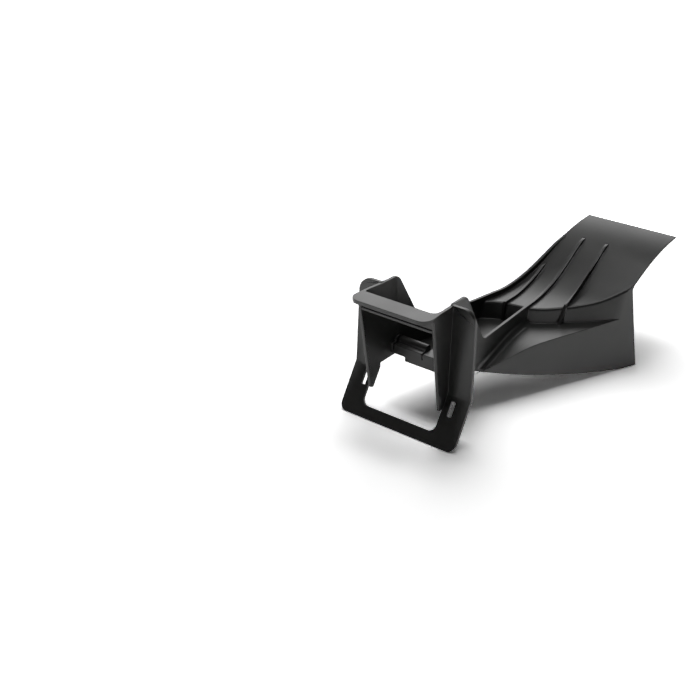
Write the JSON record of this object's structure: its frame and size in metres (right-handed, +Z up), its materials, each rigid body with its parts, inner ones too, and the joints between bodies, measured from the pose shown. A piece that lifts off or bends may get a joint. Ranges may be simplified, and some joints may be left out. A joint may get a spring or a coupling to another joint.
{
  "type": "mower mulching plug",
  "caption": "Black moulded plug that closes a mower's discharge chute: bent frame with a visor grip, channelled arm with a snap tab, and a ribbed, upswept deflector with a side skirt.",
  "frame": {"origin": "middle of the foot's flat, where the frame's lower edge stands on the ground", "axes": "+Y from the grip into the chute, along the arm and the deflector; +Z up as it stands; +X to the right of someone facing the grip"},
  "size_m": [0.2226, 0.4215, 0.159],
  "materials": {
    "black_polypropylene": "satin, with a fine moulded grain"
  },
  "bodies": {
    "root": {"mulching_plug": "black_polypropylene"}
  },
  "joints": []
}
